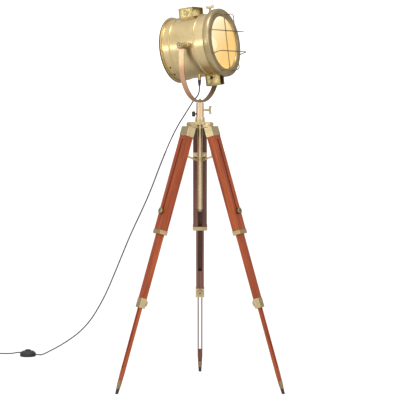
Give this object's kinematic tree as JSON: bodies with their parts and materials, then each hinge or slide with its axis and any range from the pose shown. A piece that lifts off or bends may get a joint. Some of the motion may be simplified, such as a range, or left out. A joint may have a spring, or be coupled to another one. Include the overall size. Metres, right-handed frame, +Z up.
{
  "type": "tripod floor lamp",
  "caption": "Studio-style floor lamp: round brass drum head with a wire guard in a tilting yoke, on an extending wooden tripod with brass fittings, a corded foot switch and a plug.",
  "frame": {"origin": "the floor point under the pole's axis", "axes": "+Z up, +X to the lamp's right, -Y towards the side between the two front legs; the head points to +X and a little to -Y and up"},
  "size_m": [1.2361, 1.1151, 1.4134],
  "materials": {
    "brass_casting": "satin antique brass, softly darkened in the corners",
    "brass_sheet": "brushed antique brass sheet with a warm satin sheen",
    "brass_polished": "polished pale brass tube",
    "yoke_brass": "rosy brass strap, polished",
    "knob_brass": "satin antique brass",
    "wood": "reddish brown hardwood with a clear satin varnish and fine grain along the leg",
    "foot": "brass sleeve with a dark rubber tip",
    "glass": "clear flat glass",
    "bulb_glass": "warm glowing bulb",
    "reflector": "bright spun reflector",
    "holder": "pale lamp holder",
    "wire": "plain brass wire",
    "dark_screw": "blackened steel screws",
    "gland": "black strain relief under a brass stub",
    "cord": "round black flexible cord with a soft sheen",
    "switch": "black moulded plastic",
    "dark_knob": "dark moulded knob"
  },
  "bodies": {
    "hub": {"hub": "brass_casting", "cord_long": "cord", "cord_floor": "cord", "cord_coil": "cord", "plug": "switch", "switch_case": "switch"},
    "leg_left": {"leg_cap_left": "brass_casting", "leg_upper_left": "wood", "leg_fittings_left": "brass_casting"},
    "mid_left": {"leg_mid_left": "wood", "mid_ferrule_left": "brass_casting"},
    "lower_left": {"leg_lower_left": "wood", "leg_foot_left": "foot"},
    "upper_knob_left": {"upper_knob_left": "knob_brass"},
    "lower_knob_left": {"lower_knob_left": "knob_brass"},
    "arm_left": {"spreader_arm_left": "brass_casting"},
    "leg_rear": {"leg_cap_rear": "brass_casting", "leg_upper_rear": "wood", "leg_fittings_rear": "brass_casting"},
    "mid_rear": {"leg_mid_rear": "wood", "mid_ferrule_rear": "brass_casting"},
    "lower_rear": {"leg_lower_rear": "wood", "leg_foot_rear": "foot"},
    "upper_knob_rear": {"upper_knob_rear": "knob_brass"},
    "lower_knob_rear": {"lower_knob_rear": "knob_brass"},
    "arm_rear": {"spreader_arm_rear": "brass_casting"},
    "leg_right": {"leg_cap_right": "brass_casting", "leg_upper_right": "wood", "leg_fittings_right": "brass_casting"},
    "mid_right": {"leg_mid_right": "wood", "mid_ferrule_right": "brass_casting"},
    "lower_right": {"leg_lower_right": "wood", "leg_foot_right": "foot"},
    "upper_knob_right": {"upper_knob_right": "knob_brass"},
    "lower_knob_right": {"lower_knob_right": "knob_brass"},
    "arm_right": {"spreader_arm_right": "brass_casting"},
    "collar": {"spreader_collar": "brass_casting"},
    "post": {"pole": "brass_polished", "yoke_nut": "knob_brass", "cord_bridge": "cord"},
    "yoke": {"yoke": "yoke_brass", "cord_upper": "cord"},
    "drum": {"drum_shell": "brass_sheet", "back_cover": "brass_sheet", "front_ring": "brass_sheet", "lens_glass": "glass", "reflector": "reflector", "lamp_holder": "holder", "bulb": "bulb_glass", "cage": "wire", "vent_top": "brass_sheet", "vent_bottom": "brass_sheet", "drum_screws": "dark_screw", "gland": "gland"},
    "tilt_knob_far": {"tilt_knob_far": "knob_brass"},
    "tilt_knob_near": {"tilt_knob_near": "knob_brass"},
    "column_wing_screw": {"column_wing_screw": "knob_brass"},
    "column_set_knob": {"column_set_knob": "dark_knob"},
    "ring_wing_screw": {"ring_wing_screw": "knob_brass"},
    "switch_button": {"switch_button": "switch"}
  },
  "joints": [
    {"name": "fold_left", "type": "hinge", "parent": "hub", "child": "leg_left", "pos_m": [-0.03637, -0.021, 0.975], "axis": [0.5, -0.866, 0], "range_deg": [0, 14]},
    {"name": "fold_rear", "type": "hinge", "parent": "hub", "child": "leg_rear", "pos_m": [0, 0.042, 0.975], "axis": [-1, 0, 0], "range_deg": [0, 14]},
    {"name": "fold_right", "type": "hinge", "parent": "hub", "child": "leg_right", "pos_m": [0.03637, -0.021, 0.975], "axis": [0.5, 0.866, 0], "range_deg": [0, 14]},
    {"name": "collar_slide", "type": "slide", "parent": "hub", "child": "collar", "axis": [0, 0, -1], "range_m": [0, 0.02625]},
    {"name": "arm_swing_left", "type": "hinge", "parent": "collar", "child": "arm_left", "pos_m": [-0.01472, -0.0085, 0.844], "axis": [-0.5, 0.866, 0], "range_deg": [0, 56.09]},
    {"name": "mid_slide_left", "type": "slide", "parent": "leg_left", "child": "mid_left", "axis": [-0.2604, -0.1504, -0.9537], "range_m": [-0.2, 0]},
    {"name": "lower_slide_left", "type": "slide", "parent": "mid_left", "child": "lower_left", "axis": [-0.2604, -0.1504, -0.9537], "range_m": [-0.22, 0]},
    {"name": "upper_knob_turn_left", "type": "hinge", "parent": "mid_left", "child": "upper_knob_left", "pos_m": [-0.13487, -0.07787, 0.65751], "axis": [-0.8259, -0.4769, 0.3007], "continuous": true},
    {"name": "lower_knob_turn_left", "type": "hinge", "parent": "mid_left", "child": "lower_knob_left", "pos_m": [-0.20411, -0.11784, 0.32412], "axis": [0.8259, 0.4769, -0.3007], "continuous": true},
    {"name": "arm_swing_rear", "type": "hinge", "parent": "collar", "child": "arm_rear", "pos_m": [0, 0.017, 0.844], "axis": [1, 0, 0], "range_deg": [0, 56.09]},
    {"name": "mid_slide_rear", "type": "slide", "parent": "leg_rear", "child": "mid_rear", "axis": [0, 0.3007, -0.9537], "range_m": [-0.2, 0]},
    {"name": "lower_slide_rear", "type": "slide", "parent": "mid_rear", "child": "lower_rear", "axis": [0, 0.3007, -0.9537], "range_m": [-0.22, 0]},
    {"name": "upper_knob_turn_rear", "type": "hinge", "parent": "mid_rear", "child": "upper_knob_rear", "pos_m": [0, 0.15574, 0.65751], "axis": [0, 0.9537, 0.3007], "continuous": true},
    {"name": "lower_knob_turn_rear", "type": "hinge", "parent": "mid_rear", "child": "lower_knob_rear", "pos_m": [0, 0.23569, 0.32412], "axis": [0, -0.9537, -0.3007], "continuous": true},
    {"name": "arm_swing_right", "type": "hinge", "parent": "collar", "child": "arm_right", "pos_m": [0.01472, -0.0085, 0.844], "axis": [-0.5, -0.866, 0], "range_deg": [0, 56.09]},
    {"name": "mid_slide_right", "type": "slide", "parent": "leg_right", "child": "mid_right", "axis": [0.2604, -0.1504, -0.9537], "range_m": [-0.2, 0]},
    {"name": "lower_slide_right", "type": "slide", "parent": "mid_right", "child": "lower_right", "axis": [0.2604, -0.1504, -0.9537], "range_m": [-0.22, 0]},
    {"name": "upper_knob_turn_right", "type": "hinge", "parent": "mid_right", "child": "upper_knob_right", "pos_m": [0.13487, -0.07787, 0.65751], "axis": [0.8259, -0.4769, 0.3007], "continuous": true},
    {"name": "lower_knob_turn_right", "type": "hinge", "parent": "mid_right", "child": "lower_knob_right", "pos_m": [0.20411, -0.11784, 0.32412], "axis": [-0.8259, 0.4769, -0.3007], "continuous": true},
    {"name": "height", "type": "slide", "parent": "hub", "child": "post", "axis": [0, 0, 1], "range_m": [0, 0.14], "deforming": ["cord_long"]},
    {"name": "pan", "type": "hinge", "parent": "post", "child": "yoke", "pos_m": [0, 0, 1.056], "axis": [0, 0, 1], "range_deg": [-75, 75], "deforming": ["cord_bridge"]},
    {"name": "tilt", "type": "hinge", "parent": "yoke", "child": "drum", "pos_m": [0, 0, 1.262], "axis": [0.4818, 0.8763, 0], "range_deg": [-30, 30], "deforming": ["cord_upper"]},
    {"name": "tilt_knob_far_turn", "type": "hinge", "parent": "drum", "child": "tilt_knob_far", "pos_m": [0.0713, 0.12969, 1.262], "axis": [0.4818, 0.8763, 0], "continuous": true},
    {"name": "tilt_knob_near_turn", "type": "hinge", "parent": "drum", "child": "tilt_knob_near", "pos_m": [-0.0713, -0.12969, 1.262], "axis": [-0.4818, -0.8763, 0], "continuous": true},
    {"name": "column_wing_turn", "type": "hinge", "parent": "hub", "child": "column_wing_screw", "pos_m": [0.03, 0, 1.028], "axis": [1, 0, 0], "continuous": true},
    {"name": "column_set_knob_turn", "type": "hinge", "parent": "hub", "child": "column_set_knob", "pos_m": [-0.02, 0, 1.013], "axis": [-1, 0, 0], "continuous": true},
    {"name": "ring_wing_turn", "type": "hinge", "parent": "drum", "child": "ring_wing_screw", "pos_m": [0.03738, -0.02055, 1.39253], "axis": [-0.1121, 0.0616, 0.9918], "continuous": true},
    {"name": "switch_press", "type": "slide", "parent": "hub", "child": "switch_button", "axis": [0, 0, -1], "range_m": [0, 0.003], "stiffness_N_per_m": 1200, "springref_m": -0.0015}
  ],
  "couplings": [
    {"joint": "fold_rear", "follows": "fold_left", "ratio": 1},
    {"joint": "fold_right", "follows": "fold_left", "ratio": 1},
    {"joint": "collar_slide", "follows": "fold_left", "m_per_rad": 0.10662},
    {"joint": "arm_swing_left", "follows": "fold_left", "ratio": 3.9921},
    {"joint": "arm_swing_rear", "follows": "fold_left", "ratio": 3.9921},
    {"joint": "arm_swing_right", "follows": "fold_left", "ratio": 3.9921}
  ]
}
